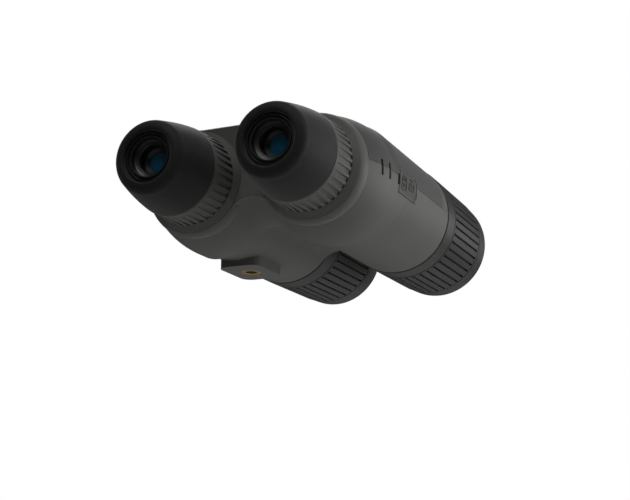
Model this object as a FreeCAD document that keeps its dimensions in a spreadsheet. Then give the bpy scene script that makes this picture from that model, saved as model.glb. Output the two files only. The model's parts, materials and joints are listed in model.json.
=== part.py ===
import FreeCAD, Part
import math
import os
import Sketcher
from FreeCAD import Placement, Rotation, Vector

# Day-and-night binoculars with two side-by-side barrels in one rigid housing.
# +Y points where the binoculars look, +X is the user's right, +Z is up. The origin is the
# middle of the outer box, on the surface that the binoculars stand on.
# A station is a distance back from the front edge of the objective rings.

doc = FreeCAD.newDocument("Binoculars")
sheet = doc.addObject("Spreadsheet::Sheet", "Sizes")

SIZES = [
    # overall layout, front to back
    ("ringSpace", 5.8, "between the two focus rings"),
    ("frontRingLength", 15.2, "smooth ring at the very front"),
    ("focusRingLength", 47.8, "grooved focus ring"),
    ("adapterLength", 12.1, "smooth ring between focus ring and housing"),
    ("housingLength", 113.4, "both housing shells"),
    ("collarLength", 3.5, "collar behind the housing"),
    ("dioptreLength", 17.1, "ribbed dioptre ring"),
    ("eyecupLength", 25.4, "rubber eyecup"),
    # housing
    ("barrelRadius", 30.8, "front part of each barrel"),
    ("eyeInset", 2.17, "eyepiece axis inboard of the barrel axis"),
    ("topStep", 0.08, "barrel tops above the dome tops"),
    ("padProud", 3.28, "tripod boss below the barrels"),
    ("domeRise", 4.4, "full dome radius beyond the radius at its rear lip"),
    ("lipSetback", 6.5, "lip to the rear face"),
    ("domeRun", 25.0, "lip to the full dome radius"),
    ("shoulderMargin", 0.1, "edge of the rear face beyond the collar"),
    ("lipWidth", 1.5, "rear lip beyond the edge of the rear face"),
    ("lipRound", 8.0, "rounding from lip to rear face"),
    ("creaseSetback", 33.5, "front edge of the dome's underside to the rear face"),
    ("creaseReach", 0.49, "how fast that edge runs forward towards the side"),
    ("creaseBend", 10.0, "inboard of the barrel axis, where it starts to run forward"),
    ("valleyDrop", 29.2, "middle of the valley's round hollow below the barrel axes"),
    ("deckDrop", 0.2, "deck below the barrel tops"),
    ("barrelWall", 3.2, "housing wall round each barrel"),
    ("domeWall", 4.0, "housing wall round the dome cavity"),
    ("rearWall", 3.9, "housing wall behind the cavity"),
    ("neckWidth", 3.4, "hole for the eyepiece mount beyond the eyepiece tube"),
    ("frontRound", 0.8, "front edge of the housing"),
    ("webFloor", 4.0, "thickness over the valley"),
    # dark cover over the top
    ("coverThickness", 1.2, "top cover"),
    ("coverRim", 9.0, "housing left bare in front of the cover"),
    ("seatGap", 0.1, "between pieces that are fixed together"),
    ("runGap", 0.3, "between pieces that move past each other"),
    # objective end
    ("adapterProud", 0.3, "smooth ring behind the focus ring, beyond the barrel"),
    ("focusTaper", 0.4, "focus ring, rear end to front end"),
    ("frontRingStep", 0.1, "front ring inside the focus ring's front end"),
    ("frontRingTaper", 0.6, "front ring, rear end to front end"),
    ("hoodWall", 3.4, "mouth of the front ring inside its front edge"),
    ("throatStep", 2.7, "throat of the front ring inside the tube's outside"),
    ("hoodDepth", 6.0, "front edge to the back of the throat"),
    ("tubeStep", 0.6, "outside of the objective tube inside the barrel's bore"),
    ("tubeWall", 2.0, "objective tube"),
    ("tubeTail", 8.0, "objective tube inside the housing"),
    ("tubeFlange", 3.0, "tube's rear flange, inwards"),
    ("grooveCount", 44, "grooves round the focus ring"),
    ("grooveWidth", 1.2, "focus ring groove"),
    ("grooveDepth", 1.7, "focus ring groove"),
    ("pitWidth", 2.3, "round pit at the end of each groove"),
    ("pitDepth", 2.6, "round pit at the end of each groove"),
    ("ringLine", 0.6, "sunk line at each end of the focus ring"),
    ("ringLineDepth", 1.2, "sunk line at each end of the focus ring"),
    ("cellSetback", 13.0, "front edge to the objective cell"),
    ("cellLength", 32.0, "objective cell"),
    ("cellWall", 2.6, "objective cell round its lens"),
    ("lensDepth", 9.0, "objective lens, along the axis"),
    ("lensSag", 3.5, "height of its curved face"),
    # eyepiece end
    ("collarProud", 7.8, "collar of the eyepiece mount beyond the eyepiece tube"),
    ("collarTaper", 2.5, "collar, front end to rear end"),
    ("eyeTubeRadius", 18.6, "outside of the eyepiece tube"),
    ("eyeTubeWall", 2.0, "eyepiece tube"),
    ("mountFlange", 1.6, "flange inside the housing, beyond the neck's hole"),
    ("dioptreFrontWall", 5.2, "dioptre ring's front end beyond the eyepiece tube"),
    ("dioptreTaper", 0.8, "dioptre ring, front end to rear end"),
    ("ribCount", 40, "ribs round the dioptre ring"),
    ("ribGap", 2.1, "hollow between two ribs"),
    ("ribDepth", 0.6, "hollow between two ribs"),
    ("ribRound", 0.6, "corners of that hollow"),
    ("cupBaseStep", 0.1, "eyecup's front end inside the dioptre ring's rear end"),
    ("cupTaper", 4.3, "eyecup, front end to where its nose starts to round"),
    ("cupNose", 4.0, "rounding of the nose, along the axis"),
    ("cupRim", 3.8, "eyecup's hole inside the eyepiece tube's bore"),
    ("eyeRelief", 10.3, "eyecup's rear edge to the lens cell"),
    ("eyeCellLength", 20.2, "lens cell"),
    ("eyeLensRadius", 8.9, "lens nearest the eye"),
    ("eyeAperture", 4.9, "clear opening in front of it"),
    ("fieldLensRadius", 12.1, "larger lens in the cell"),
    # tripod mount under the left barrel
    ("tripodStation", 120.0, "middle of the boss"),
    ("tripodPadWidth", 24.0, "boss, across"),
    ("tripodPadLength", 34.0, "boss, along"),
    ("tripodPadRound", 6.0, "boss, corner rounding"),
    ("threadRadius", 3.175, "quarter-inch camera thread"),
    ("threadDepth", 8.5, "camera thread"),
    ("bushRadius", 5.5, "brass bush"),
    # strap slots
    ("slotWidth", 1.8, "strap slot, along the barrel"),
    ("slotHeight", 8.2, "strap slot"),
    ("slotRear", 17.2, "rear slot to the rear face"),
    ("slotPitch", 7.5, "between the two slots"),
    ("slotRise", -0.9, "middle of the slots above the barrel axis"),
    # ports on the right side
    ("portSetback", 36.2, "port cover's rear edge to the housing's rear face"),
    ("portLength", 25.2, "port cover"),
    ("portHeight", 12.8, "port cover"),
    ("portDrop", 2.0, "middle of the port cover below the barrel axis"),
    ("portThickness", 1.8, "port cover"),
    ("portTether", 3.2, "fixed strip in front of the port cover's fold"),
    # keypad
    ("keypadSetback", 16.4, "cover's front edge to the keypad"),
    ("keypadLength", 52.0, "keypad frame, along"),
    ("keypadWidth", 40.0, "keypad frame, across"),
    ("keypadProud", 1.0, "keypad frame above the deck"),
    ("keypadBoard", 0.9, "board under the buttons"),
    ("buttonProud", 0.8, "button caps above the frame"),
    ("buttonSpacing", 12.0, "middle button to an arrow button"),
    ("middleButton", 5.0, "radius of the middle button"),
    ("arrowButton", 3.6, "radius of an arrow button"),
    # inside
    ("cellRadius", 9.1, "battery cell"),
    ("batteryLength", 50.0, "battery cell"),
    ("boardThickness", 1.6, "circuit boards"),
    ("boardMargin", 8.4, "main board's rear edge to the screw behind it"),
    ("boardWidth", 60.0, "main board, across"),
    ("boardRise", 20.0, "main board above the barrel axes"),
    ("screwRadius", 1.5, "housing screws"),
]
for row, (alias, size, note) in enumerate(SIZES, 1):
    sheet.set("A%d" % row, note)
    sheet.set("B%d" % row, str(size))
    sheet.setAlias("B%d" % row, alias)
doc.recompute()


class Dim:
    """A length that carries both its value and the sheet expression it comes from."""

    def __init__(self, value, text):
        self.value = float(value)
        self.text = text

    def join(self, sign, other, value):
        return Dim(value, "(%s %s %s)" % (self.text, sign, other.text))

    def __add__(self, other):
        other = dim(other)
        return self.join("+", other, self.value + other.value)

    def __sub__(self, other):
        other = dim(other)
        return self.join("-", other, self.value - other.value)

    def __mul__(self, other):
        other = dim(other)
        return self.join("*", other, self.value * other.value)

    def __truediv__(self, other):
        other = dim(other)
        return self.join("/", other, self.value / other.value)

    def __radd__(self, other):
        return dim(other) + self

    def __rsub__(self, other):
        return dim(other) - self

    def __rmul__(self, other):
        return dim(other) * self

    def __neg__(self):
        return Dim(-self.value, "(-1 * %s)" % self.text)


def dim(thing):
    if isinstance(thing, Dim):
        return thing
    return Dim(thing, "(%r)" % float(thing))


def root(length):
    return Dim(math.sqrt(length.value), "sqrt(%s)" % length.text)


class Sizes:
    """size.barrelRadius and so on, each a Dim bound to its cell."""


size = Sizes()
for alias, number, note in SIZES:
    setattr(size, alias, Dim(number, "Sizes." + alias))

LEFT, RIGHT = -1, 1
SIDES = (("left", LEFT), ("right", RIGHT))

# radii that fit each other: from the eyepiece tube outwards, and from the barrel inwards
eyeTubeBore = size.eyeTubeRadius - size.eyeTubeWall
neckBore = size.eyeTubeRadius + size.neckWidth
mountFlange = neckBore + size.mountFlange
collarRadius = size.eyeTubeRadius + size.collarProud
shoulderRadius = collarRadius + size.shoulderMargin
lipRadius = shoulderRadius + size.lipWidth
domeRadius = lipRadius + size.domeRise
dioptreFrontRadius = size.eyeTubeRadius + size.dioptreFrontWall
dioptreRearRadius = dioptreFrontRadius - size.dioptreTaper
cupBaseRadius = dioptreRearRadius - size.cupBaseStep
cupNoseRadius = cupBaseRadius - size.cupTaper
cupHole = eyeTubeBore - size.cupRim
barrelBore = size.barrelRadius - size.barrelWall
tubeRadius = barrelBore - size.tubeStep
tubeBore = tubeRadius - size.tubeWall
tubeFlange = tubeBore - size.tubeFlange
cellRadius = tubeBore - size.runGap
lensRadius = cellRadius - size.cellWall
adapterRadius = size.barrelRadius + size.adapterProud
focusRearRadius = adapterRadius
axisSpacing = focusRearRadius * 2 + size.ringSpace
focusFrontRadius = focusRearRadius - size.focusTaper
frontRingRadius = focusFrontRadius - size.frontRingStep
frontLipRadius = frontRingRadius - size.frontRingTaper
hoodRadius = frontLipRadius - size.hoodWall
throatRadius = tubeRadius - size.throatStep

# stations of the joints between the main pieces
focusFront = size.frontRingLength
focusRear = focusFront + size.focusRingLength
housingFront = focusRear + size.adapterLength
housingRear = housingFront + size.housingLength
collarRear = housingRear + size.collarLength
dioptreRear = collarRear + size.dioptreLength
eyecupRear = dioptreRear + size.eyecupLength
halfLength = eyecupRear / 2
lipStation = housingRear - size.lipSetback
domeStation = lipStation - size.domeRun
coverFront = housingFront + size.coverRim

# the hollow under the web between the barrels touches both of them
valleyReach = axisSpacing * axisSpacing / 4 + size.valleyDrop * size.valleyDrop
valleyRound = root(valleyReach) - size.barrelRadius

# heights of the axes above the ground: the tops of barrels and domes line up
barrelHeight = size.barrelRadius + size.padProud
eyeDrop = domeRadius - size.barrelRadius + size.topStep
eyeHeight = barrelHeight - eyeDrop


def barrelAxis(side):
    return axisSpacing * (0.5 * side), barrelHeight


def eyeAxis(side):
    return (axisSpacing / 2 - size.eyeInset) * side, eyeHeight


pieces = []


def bind(thing, **lengths):
    for name, length in lengths.items():
        thing.setExpression(name.replace("_", "."), dim(length).text)
    return thing


def place(thing, x, y, z, rotation=None):
    """Puts an object at a point whose coordinates follow the sheet."""
    thing.Placement = Placement(Vector(dim(x).value, dim(y).value, dim(z).value), rotation or Rotation())
    return bind(thing, Placement_Base_x=x, Placement_Base_y=y, Placement_Base_z=z)


def keep(thing, label):
    """Marks an object as one of the real pieces."""
    thing.Label = label
    pieces.append(thing)
    return thing


def arcBetween(start, end, radius):
    """The arc from start to end: a positive radius turns to the left, a negative one to the right."""
    chord = end - start
    height = math.sqrt(max(radius * radius - chord.Length * chord.Length / 4, 0))
    left = Vector(-chord.y, chord.x, 0).normalize()
    centre = (start + end) / 2 + left * (height if radius > 0 else -height)
    first, last = (start, end) if radius > 0 else (end, start)
    angles = [math.atan2(point.y - centre.y, point.x - centre.x) for point in (first, last)]
    return Part.ArcOfCircle(Part.Circle(centre, Vector(0, 0, 1), abs(radius)), angles[0], angles[1])


def outline(body, name, corners, role="XY_Plane", offset=0):
    """A closed sketch. Each corner is (x, y), or (x, y, radius) if an arc runs from it to the next."""
    sketch = body.newObject("Sketcher::SketchObject", name)
    plane = [item for item in body.Origin.OriginFeatures if item.Role == role][0]
    sketch.AttachmentSupport = (plane, [""])
    sketch.MapMode = "FlatFace"
    sketch.AttachmentOffset = Placement(Vector(0, 0, dim(offset).value), Rotation())
    bind(sketch, AttachmentOffset_Base_z=offset)
    points = [Vector(dim(corner[0]).value, dim(corner[1]).value, 0) for corner in corners]
    starts = []
    ends = []
    for index, corner in enumerate(corners):
        start, end = points[index], points[(index + 1) % len(points)]
        if len(corner) == 3:
            radius = dim(corner[2])
            sketch.addGeometry(arcBetween(start, end, radius.value))
            turnsLeft = radius.value > 0
            starts.append(1 if turnsLeft else 2)
            ends.append(2 if turnsLeft else 1)
        else:
            sketch.addGeometry(Part.LineSegment(start, end))
            starts.append(1)
            ends.append(2)
    for index, corner in enumerate(corners):
        following = (index + 1) % len(corners)
        sketch.addConstraint(Sketcher.Constraint("Coincident", index, ends[index], following, starts[following]))
        for kind, length in (("DistanceX", dim(corner[0])), ("DistanceY", dim(corner[1]))):
            number = sketch.addConstraint(
                Sketcher.Constraint(kind, -1, 1, index, starts[index], length.value))
            sketch.setExpression("Constraints[%d]" % number, length.text)
        if len(corner) == 3:
            radius = dim(corner[2]) if corner[2].value > 0 else -dim(corner[2])
            number = sketch.addConstraint(Sketcher.Constraint("Radius", index, radius.value))
            sketch.setExpression("Constraints[%d]" % number, radius.text)
    return sketch


def turned(name, corners, axis):
    """A piece turned about an axis along Y. Each corner is (radius, station) with an optional arc."""
    body = doc.addObject("PartDesign::Body", name)
    sketch = outline(body, name + "Profile", [(corner[0], -corner[1]) + corner[2:] for corner in corners])
    turn = body.newObject("PartDesign::Revolution", name + "Turned")
    turn.Profile = sketch
    turn.ReferenceAxis = (sketch, ["V_Axis"])
    turn.Angle = 360
    body.Tip = turn
    place(body, axis[0], halfLength, axis[1])
    return body


def padded(name, corners, role, start, end):
    """A prism on an origin plane: XY along Z, XZ along -Y, YZ along X, from start to end."""
    body = doc.addObject("PartDesign::Body", name)
    sketch = outline(body, name + "Profile", corners, role, start)
    pad = body.newObject("PartDesign::Pad", name + "Pad")
    pad.Profile = sketch
    bind(pad, Length=dim(end) - start)
    body.Tip = pad
    return body


def lofted(name, sections, rearPlane):
    """A solid through outlines that stand across Y, each (station, corners)."""
    body = doc.addObject("PartDesign::Body", name)
    sketches = [outline(body, "%sSection%d" % (name, index), corners, "XZ_Plane", station - rearPlane)
                for index, (station, corners) in enumerate(sections)]
    loft = body.newObject("PartDesign::AdditiveLoft", name + "Loft")
    loft.Profile = sketches[0]
    loft.Sections = sketches[1:]
    loft.Ruled = False
    body.Tip = loft
    return body


def block(name, x, stations, z):
    """A box between two x values, two stations and two heights."""
    box = doc.addObject("Part::Box", name)
    bind(box, Length=dim(x[1]) - x[0], Width=dim(stations[1]) - stations[0], Height=dim(z[1]) - z[0])
    return place(box, x[0], halfLength - stations[1], z[0])


TOWARDS = {"x": Rotation(Vector(0, 1, 0), 90), "y": Rotation(Vector(1, 0, 0), -90), "z": Rotation()}


def roundness(halfWidth, rise):
    """Radius of the sphere that rises this much over a disc."""
    return (halfWidth * halfWidth + rise * rise) / (rise * 2)


def rod(name, radius, length, x, station, z, towards="z"):
    """A round bar that starts at a point and runs along +X, +Y or +Z."""
    bar = doc.addObject("Part::Cylinder", name)
    bind(bar, Radius=radius, Height=length)
    return place(bar, x, halfLength - station, z, TOWARDS[towards])


def fused(name, shapes):
    union = doc.addObject("Part::MultiFuse", name)
    union.Shapes = shapes
    union.Refine = True
    return union


def grouped(name, shapes):
    group = doc.addObject("Part::Compound", name)
    group.Links = shapes
    return group


def cutAway(name, base, tools):
    cut = doc.addObject("Part::Cut", name)
    cut.Base = base
    cut.Tool = tools[0] if len(tools) == 1 else fused(name + "Tools", tools)
    return cut


def shared(name, first, second):
    common = doc.addObject("Part::Common", name)
    common.Base = first
    common.Tool = second
    return common


def softCorners(low, high, half, corner):
    """A rectangle with rounded corners, from low to high in y and half each side of x = 0."""
    return [(half, low + corner, -corner), (half - corner, low), (corner - half, low, -corner),
            (-half, low + corner), (-half, high - corner, -corner), (corner - half, high),
            (half - corner, high, -corner), (half, high - corner)]


# ---- housing -------------------------------------------------------------------------------

def domeCorners(inset, front):
    """Dome outline: a rounded lip at the rear, a long arc up to the full radius, then straight."""
    sweep = roundness(size.domeRun, domeRadius - lipRadius)
    return [(dim(0), housingRear), (shoulderRadius - inset, housingRear, size.lipRound),
            (lipRadius - inset, lipStation, sweep), (domeRadius - inset, domeStation),
            (domeRadius - inset, front), (dim(0), front)]


def domeRadiusAt(station, inset):
    """Radius of the long arc at a station between the lip and the full dome."""
    sweep = roundness(size.domeRun, domeRadius - lipRadius)
    run = station - domeStation
    return domeRadius - inset - sweep + root(sweep * sweep - run * run)


def valleySection(centre, drop, radius):
    """Half of the web between two round barrels: flat above, a hollow arc below that touches both."""
    reach = radius + valleyRound
    depth = root(reach * reach - centre * centre)
    touchX = centre * valleyRound / reach
    touchZ = -(depth * radius / reach) - drop
    return [(-touchX, touchZ, -valleyRound), (touchX, touchZ), (centre, -drop), (-centre, -drop)]


creaseStation = housingRear - size.creaseSetback
bendStation = creaseStation + size.creaseBend * size.creaseReach


def housingForm(name, inset):
    """The closed outer form of the whole housing, drawn in by an inset."""
    eyeX = axisSpacing / 2 - size.eyeInset
    barrelX = axisSpacing / 2
    domeFront = creaseStation - (domeRadius - size.eyeInset) * size.creaseReach
    rear = []
    for label, side in SIDES:
        rear.append(turned(name + label.title() + "Dome", domeCorners(inset, domeFront), eyeAxis(side)))
    stations = [housingRear, lipStation, (lipStation + domeStation) / 2, domeStation, domeFront]
    radii = [shoulderRadius - inset, lipRadius - inset,
             domeRadiusAt((lipStation + domeStation) / 2, inset),
             domeRadius - inset, domeRadius - inset]
    under = lofted(name + "RearWeb", [(station, valleySection(eyeX, dim(0), radius))
                                      for station, radius in zip(stations, radii)], dim(0))
    place(under, dim(0), halfLength, eyeHeight)
    rear.append(under)
    # the deck between the domes has the domes' own outline
    deckCorners = []
    for radius, station, *sweep in domeCorners(inset + size.deckDrop, domeFront):
        deckCorners.append((-station, radius) + tuple(-turn for turn in sweep))
    deckCorners[0] = (-housingRear, dim(0))
    deckCorners[-1] = (-domeFront, dim(0))
    deck = padded(name + "RearDeck", deckCorners, "YZ_Plane", -eyeX, eyeX)
    place(deck, dim(0), halfLength, eyeHeight)
    rear.append(deck)
    rearForm = fused(name + "Rear", rear)
    # the swelling ends in a crease that runs forward towards each side
    bendX = barrelX - size.creaseBend
    sideX = (barrelX + domeRadius) * 1.2
    sideStation = bendStation - (sideX - bendX) * size.creaseReach
    crease = padded(name + "Crease", [
        (-bendX, -bendStation), (bendX, -bendStation), (sideX, -sideStation), (sideX, -housingFront),
        (-sideX, -housingFront), (-sideX, -sideStation)], "XY_Plane", domeRadius * -2, eyeDrop)
    place(crease, dim(0), halfLength, eyeHeight)
    form = [cutAway(name + "RearCut", rearForm, [crease])]
    # front part
    rimRadius = size.barrelRadius - inset
    fadeStart = domeStation - 4
    fadeEnd = domeStation + 6
    for label, side in SIDES:
        form.append(turned(name + label.title() + "Barrel", [
            (dim(0), housingFront), (rimRadius - size.frontRound, housingFront, -size.frontRound),
            (rimRadius, housingFront + size.frontRound), (rimRadius, fadeStart),
            (rimRadius - 1.6, fadeEnd), (dim(0), fadeEnd + 3)], barrelAxis(side)))
    lower = padded(name + "FrontWeb", valleySection(barrelX, dim(0), rimRadius), "XZ_Plane",
                   housingFront + 0.4, bendStation + 2)
    place(lower, dim(0), halfLength, barrelHeight)
    form.append(lower)
    upper = padded(name + "FrontDeck", [
        (-barrelX, dim(0)), (barrelX, dim(0)), (barrelX, rimRadius - size.deckDrop),
        (-barrelX, rimRadius - size.deckDrop)], "XZ_Plane", housingFront + 0.4, domeStation)
    place(upper, dim(0), halfLength, barrelHeight)
    form.append(upper)
    return fused(name, form)


outerForm = housingForm("OuterForm", dim(0))
recessForm = housingForm("RecessForm", size.coverThickness + size.seatGap)
coverInside = housingForm("CoverInside", size.coverThickness)

# the cavity follows the barrels and the domes
cavity = []
cavityRear = housingRear - size.rearWall
deckInside = size.barrelRadius - size.coverThickness - size.seatGap - 1.8
boreEnd = bendStation + 4
for label, side in SIDES:
    cavity.append(turned(label.title() + "Bore", [
        (dim(0), housingFront - 1), (barrelBore, housingFront - 1), (barrelBore, boreEnd),
        (dim(0), boreEnd)], barrelAxis(side)))
    sweep = roundness(size.domeRun, domeRadius - lipRadius)
    cavity.append(turned(label.title() + "DomeCavity", [
        (dim(0), cavityRear), (lipRadius - size.domeWall, cavityRear),
        (lipRadius - size.domeWall, lipStation, sweep),
        (domeRadiusAt(boreEnd - 1, size.domeWall), boreEnd - 1), (dim(0), boreEnd - 1)], eyeAxis(side)))
    cavity.append(rod(label.title() + "NeckHole", neckBore, size.rearWall * 2, eyeAxis(side)[0],
                      housingRear + size.rearWall / 2, eyeHeight, "y"))
webReach = root((size.barrelRadius + valleyRound) * (size.barrelRadius + valleyRound)
                - axisSpacing * axisSpacing / 4)
webBottom = valleyRound - webReach + size.webFloor
cavity.append(block("WebCavity", (axisSpacing * -0.5, axisSpacing * 0.5),
                    (housingFront + 4, domeStation + 4), (barrelHeight, barrelHeight + deckInside)))
cavity.append(block("ValleyCavity", (axisSpacing * -0.17, axisSpacing * 0.17),
                    (housingFront + 4, domeStation + 4), (barrelHeight + webBottom, barrelHeight)))
cavityForm = fused("CavityForm", cavity)

wide = axisSpacing * 2
upperHalf = block("UpperHalf", (-wide, wide), (dim(-10), eyecupRear), (barrelHeight, barrelHeight * 3))
lowerHalf = block("LowerHalf", (-wide, wide), (dim(-10), eyecupRear), (-barrelHeight, barrelHeight))
coverZone = block("CoverZone", (-wide, wide), (coverFront, lipStation), (barrelHeight, barrelHeight * 3))
rimZone = cutAway("RimZone", upperHalf, [coverZone])

# openings for the straps and the ports
slotStations = [housingRear - size.slotRear, housingRear - size.slotRear - size.slotPitch]
slotTools = []
for label, side in SIDES:
    inner = eyeAxis(side)[0] + (domeRadius - size.domeWall - 4) * side
    outer = eyeAxis(side)[0] + (domeRadius + 4) * side
    ends = (outer, inner) if side == LEFT else (inner, outer)
    for number, station in enumerate(slotStations):
        slotTools.append(block("%sStrapSlot%d" % (label.title(), number), ends,
                               (station - size.slotWidth / 2, station + size.slotWidth / 2),
                               (barrelHeight + size.slotRise - size.slotHeight / 2,
                                barrelHeight + size.slotRise + size.slotHeight / 2)))

portRear = housingRear - size.portSetback
portFront = portRear - size.portLength
portMiddle = barrelHeight - size.portDrop
portX = axisSpacing / 2
foldStation = portFront + size.portTether
portWindow = block("PortWindow", (portX + barrelBore * 0.7, portX + size.barrelRadius * 1.3),
                   (portFront - size.seatGap, portRear + 0.2),
                   (portMiddle - size.portHeight / 2 - 0.2, portMiddle + size.portHeight / 2 + 0.2))
fingerNotch = block("FingerNotch", (portX + size.barrelRadius - 2.2, portX + size.barrelRadius * 1.3),
                    (portRear, portRear + 1.9), (portMiddle - 3.0, portMiddle + 2.6))
sideTools = slotTools + [portWindow, fingerNotch]

# keypad window through the cover, with a shallow tray for its board in the shell underneath
deckTop = barrelHeight + size.barrelRadius - size.deckDrop
shellTop = deckTop - size.coverThickness - size.seatGap
keypadFront = coverFront + size.keypadSetback
keypadRear = keypadFront + size.keypadLength
keypadX = size.keypadWidth / 2
keypadWindow = block("KeypadWindow", (-keypadX - 0.1, keypadX + 0.1), (keypadFront - 0.1, keypadRear + 0.1),
                     (shellTop, shellTop + 10))
boardTray = block("BoardTray", (-keypadX + 1.9, keypadX - 1.9), (keypadFront + 1.9, keypadRear - 1.9),
                  (shellTop - size.keypadBoard - 0.1, shellTop + 1))

# screw bosses on the centre line, in front of and behind the main board
bossRadius = size.screwRadius + 2.5
screwStations = [housingFront + 14, domeStation - 12, domeStation + 0.5]
headHeight = barrelHeight + 11
lowerBosses = []
upperBosses = []
screwHoles = []
screws = []
for number, station in enumerate(screwStations):
    lowerBosses.append(rod("LowerBoss%d" % number, bossRadius, -webBottom + 0.5, dim(0), station,
                           barrelHeight + webBottom - 0.5))
    upperBosses.append(rod("UpperBoss%d" % number, bossRadius + 1.2, deckInside + 0.5, dim(0), station,
                           barrelHeight))
    screwHoles.append(rod("ScrewHole%d" % number, size.screwRadius + 0.05, barrelHeight * 2, dim(0), station,
                          barrelHeight + webBottom + 1))
    screwHoles.append(rod("HeadHole%d" % number, size.screwRadius * 2 + 0.2, barrelHeight, dim(0), station,
                          headHeight))
    shank = rod("Shank%d" % number, size.screwRadius, headHeight - barrelHeight - webBottom - 1.2, dim(0),
                station, barrelHeight + webBottom + 1.2)
    head = rod("Head%d" % number, size.screwRadius * 2, dim(2.5), dim(0), station, headHeight)
    screws.append(fused("Screw%d" % number, [shank, head]))

# posts under the deck carry the main board
boardFront = screwStations[0] + 1.5
boardRear = screwStations[1] - size.boardMargin
boardLength = boardRear - boardFront
boardTop = barrelHeight + size.boardRise + size.boardThickness
boardPosts = []
boardScrews = []
boardHoles = []
for number, (corner, station) in enumerate([(x, y) for x in (-1, 1) for y in (boardFront + 4, boardRear - 4)]):
    postX = (size.boardWidth / 2 - 9) * corner
    boardPosts.append(rod("BoardPost%d" % number, dim(3), barrelHeight + deckInside + 0.5 - boardTop,
                          postX, station, boardTop))
    boardHoles.append(rod("BoardHole%d" % number, dim(1.05), size.boardThickness + 5, postX, station,
                          boardTop - size.boardThickness - 0.5))
    shank = rod("BoardShank%d" % number, dim(1), size.boardThickness + 4, postX, station,
                boardTop - size.boardThickness)
    head = rod("BoardHead%d" % number, dim(1.9), dim(1.2), postX, station,
               boardTop - size.boardThickness - 1.2)
    boardScrews.append(fused("BoardScrew%d" % number, [shank, head]))

# tripod boss under the left barrel
tripodX = barrelAxis(LEFT)[0]
bossTop = barrelHeight - barrelBore + 2
padBlock = padded("PadBlock", softCorners(size.tripodPadLength / -2, size.tripodPadLength / 2,
                                          size.tripodPadWidth / 2, size.tripodPadRound),
                  "XY_Plane", dim(0), barrelHeight - size.barrelRadius + 4)
place(padBlock, tripodX, halfLength - size.tripodStation, dim(0))
bushBoss = rod("BushBoss", size.bushRadius + 2, bossTop + 1, tripodX, size.tripodStation, dim(0.5))
bushHole = rod("BushHole", size.bushRadius + 0.05, size.threadDepth + 1.1, tripodX, size.tripodStation, dim(-1))

lowerShell = fused("LowerShell", [cutAway("LowerHollow", shared("LowerOuter", outerForm, lowerHalf),
                                          [cavityForm])] + lowerBosses + [
    cutAway("PadOnly", padBlock, [turned("PadTool", [
        (dim(0), housingFront), (barrelBore + 0.5, housingFront), (barrelBore + 0.5, domeStation),
        (dim(0), domeStation)], barrelAxis(LEFT))]), bushBoss])
keep(cutAway("LowerHousing", lowerShell, sideTools + screwHoles + [bushHole]), "lower_housing")

upperOuter = fused("UpperOuter", [shared("UpperRecess", recessForm, upperHalf),
                                  shared("UpperRims", outerForm, rimZone)])
upperShell = fused("UpperShell", [cutAway("UpperHollow", upperOuter, [cavityForm])] + upperBosses + boardPosts)
keep(cutAway("UpperHousing", upperShell, sideTools + screwHoles + boardHoles + [boardTray]), "upper_housing")

coverBase = block("CoverBase", (-wide, wide), (coverFront + size.seatGap, lipStation - size.seatGap),
                  (barrelHeight + size.seatGap, barrelHeight * 3))
topCover = cutAway("TopCoverShell", shared("TopCoverOuter", outerForm, coverBase), [coverInside])
keep(cutAway("TopCover", topCover, sideTools + [keypadWindow]), "top_cover")

# threaded brass bush for the tripod screw, and the screws
bush = rod("Bush", size.bushRadius, size.threadDepth, tripodX, size.tripodStation, dim(0))
thread = rod("Thread", size.threadRadius, size.threadDepth + 2, tripodX, size.tripodStation, dim(-1))
keep(cutAway("TripodBush", bush, [thread]), "tripod_bush")
keep(grouped("HousingScrews", screws), "housing_screws")
keep(grouped("BoardScrews", boardScrews), "board_screws")

# trays behind the strap slots, shaped to the inside of the dome
trayBore = barrelBore - size.seatGap
for label, side in SIDES:
    name = label.title()
    domeSeat = turned(name + "DomeSeat", [
        (dim(0), lipStation), (lipRadius - size.domeWall - size.seatGap, lipStation, sweep),
        (domeRadius - size.domeWall - size.seatGap, domeStation),
        (domeRadius - size.domeWall - size.seatGap, domeStation - 6), (dim(0), domeStation - 6)],
        eyeAxis(side))
    boreSeat = turned(name + "BoreSeat", [
        (trayBore, domeStation - 7), (trayBore * 2, domeStation - 7), (trayBore * 2, boreEnd), (trayBore, boreEnd)],
        barrelAxis(side))
    seat = cutAway(name + "SocketSeat", domeSeat, [boreSeat])
    trayFront = slotStations[1] - size.slotWidth / 2
    trayRear = slotStations[0] + size.slotWidth / 2
    trayHeight = size.slotHeight / 2
    trayMiddle = barrelHeight + size.slotRise
    near = eyeAxis(side)[0] + (domeRadius - size.domeWall - 6.5) * side
    far = eyeAxis(side)[0] + (domeRadius + 2) * side
    wall = dim(1.2) * side
    outside = (near, far) if side == RIGHT else (far, near)
    inside = (near + wall, far) if side == RIGHT else (far, near + wall)
    tray = shared(name + "SocketOuter", seat, block(
        name + "SocketBlock", outside, (trayFront - 1.2, trayRear + 1.2),
        (trayMiddle - trayHeight - 1.2, trayMiddle + trayHeight + 1.2)))
    hollow = block(name + "SocketHollow", inside, (trayFront, trayRear),
                   (trayMiddle - trayHeight, trayMiddle + trayHeight))
    keep(cutAway(name + "StrapSocket", tray, [hollow]), label + "_strap_socket")

# ---- objective end, the same on both sides -------------------------------------------------

ringBore = tubeRadius + size.runGap
tubeEnd = housingFront + size.tubeTail
cellFront = size.cellSetback
lensSeat = cellFront + size.lensDepth + 1
ringEdge = dim(0.25)


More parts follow.
